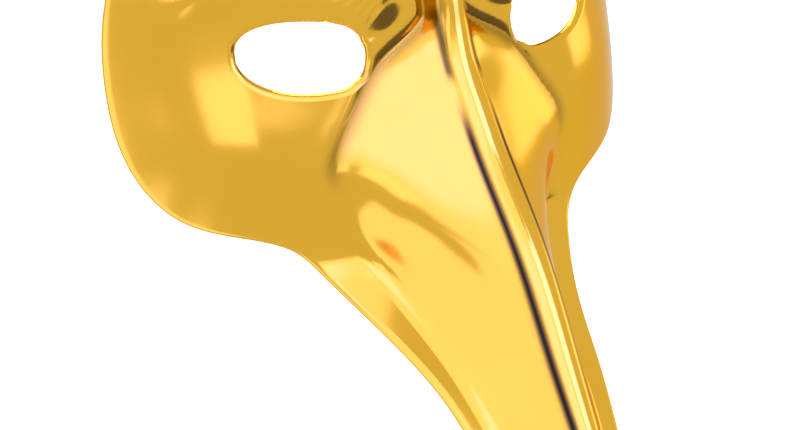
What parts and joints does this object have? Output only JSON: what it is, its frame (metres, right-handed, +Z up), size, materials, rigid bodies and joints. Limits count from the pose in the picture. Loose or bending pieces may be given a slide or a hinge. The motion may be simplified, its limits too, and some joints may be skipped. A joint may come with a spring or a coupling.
{
  "type": "plague doctor mask",
  "caption": "Half-face masquerade mask with a long down-swept beak, almond eye openings, foam pads and a riveted elastic head strap with a sliding adjuster.",
  "frame": {"origin": "on the wearer's eye line at the bridge of the nose, behind the middle of the shell; the head takes the mask's load there", "axes": "+X to the wearer's left, -Y out through the front of the face, +Y back towards the head, +Z up"},
  "size_m": [0.181, 0.2844, 0.263],
  "materials": {
    "gold_shell": "vacuum-metallised gold, mirror-like with a fine grain",
    "foam": "black cloth-faced foam",
    "rivet_metal": "brass, polished",
    "elastic": "black woven elastic",
    "slider_plastic": "black moulded plastic"
  },
  "bodies": {
    "root": {"mask_shell": "gold_shell", "forehead_pad": "foam", "cheek_pad_left": "foam", "cheek_pad_right": "foam", "rivet_left": "rivet_metal", "rivet_right": "rivet_metal", "washer_left": "rivet_metal", "washer_right": "rivet_metal", "strap_tab_left": "elastic", "strap_tab_right": "elastic"},
    "strap": {"strap_band": "elastic"},
    "slider": {"strap_slider": "slider_plastic"}
  },
  "joints": [
    {"name": "strap_swing", "type": "hinge", "parent": "root", "child": "strap", "pos_m": [0, 0.057, 0.031], "axis": [1, 0, 0], "range_deg": [-40, 60]},
    {"name": "slider_slide", "type": "slide", "parent": "strap", "child": "slider", "axis": [0, 1, 0], "range_m": [-0.018, 0.024]}
  ]
}
